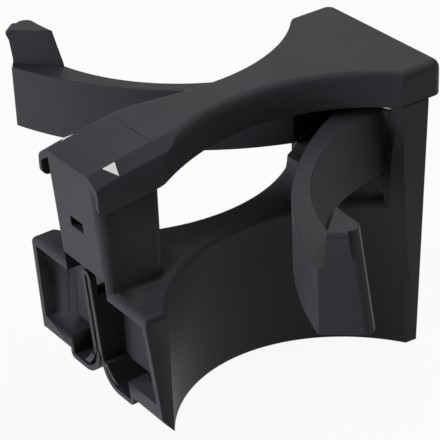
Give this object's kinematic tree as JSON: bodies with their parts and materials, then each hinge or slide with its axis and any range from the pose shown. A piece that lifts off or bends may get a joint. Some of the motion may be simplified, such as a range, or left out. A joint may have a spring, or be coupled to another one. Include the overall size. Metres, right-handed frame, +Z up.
{
  "type": "car cup holder",
  "caption": "Centre console cup holder insert with concave cup walls each side, a bridging cap and sprung swing arms with finger tabs.",
  "frame": {"origin": "centre of the overall box at its bottom face, under the waist between the two cup wells", "axes": "+Z up along the cup wells' axes, +X from the pillar to the column, +Y to the left arm"},
  "size_m": [0.0966, 0.147, 0.0785],
  "materials": {
    "body_plastic": "fine satin moulded grain",
    "cap_plastic": "fine satin moulded grain",
    "arm_plastic": "fine satin moulded grain",
    "pin_steel": "ground",
    "spring_steel": "drawn wire",
    "mark_white": "printed"
  },
  "bodies": {
    "holder": {"body": "body_plastic", "top_cap": "cap_plastic", "mark_left": "mark_white", "mark_right": "mark_white", "pivot_pin_left": "pin_steel", "pivot_pin_right": "pin_steel", "torsion_spring_left": "spring_steel", "torsion_spring_right": "spring_steel"},
    "left_arm": {"arm_left": "arm_plastic"},
    "right_arm": {"arm_right": "arm_plastic"}
  },
  "joints": [
    {"name": "left_arm_swing", "type": "hinge", "parent": "holder", "child": "left_arm", "pos_m": [0.0365, 0.0164, 0.0586], "axis": [0, 0, 1], "range_deg": [0, 35], "stiffness_Nm_per_rad": 0.05, "springref_deg": -20.05, "deforming": ["torsion_spring_left"]},
    {"name": "right_arm_swing", "type": "hinge", "parent": "holder", "child": "right_arm", "pos_m": [0.0365, -0.0164, 0.0586], "axis": [0, 0, -1], "range_deg": [0, 35], "stiffness_Nm_per_rad": 0.05, "springref_deg": -20.05, "deforming": ["torsion_spring_right"]}
  ]
}
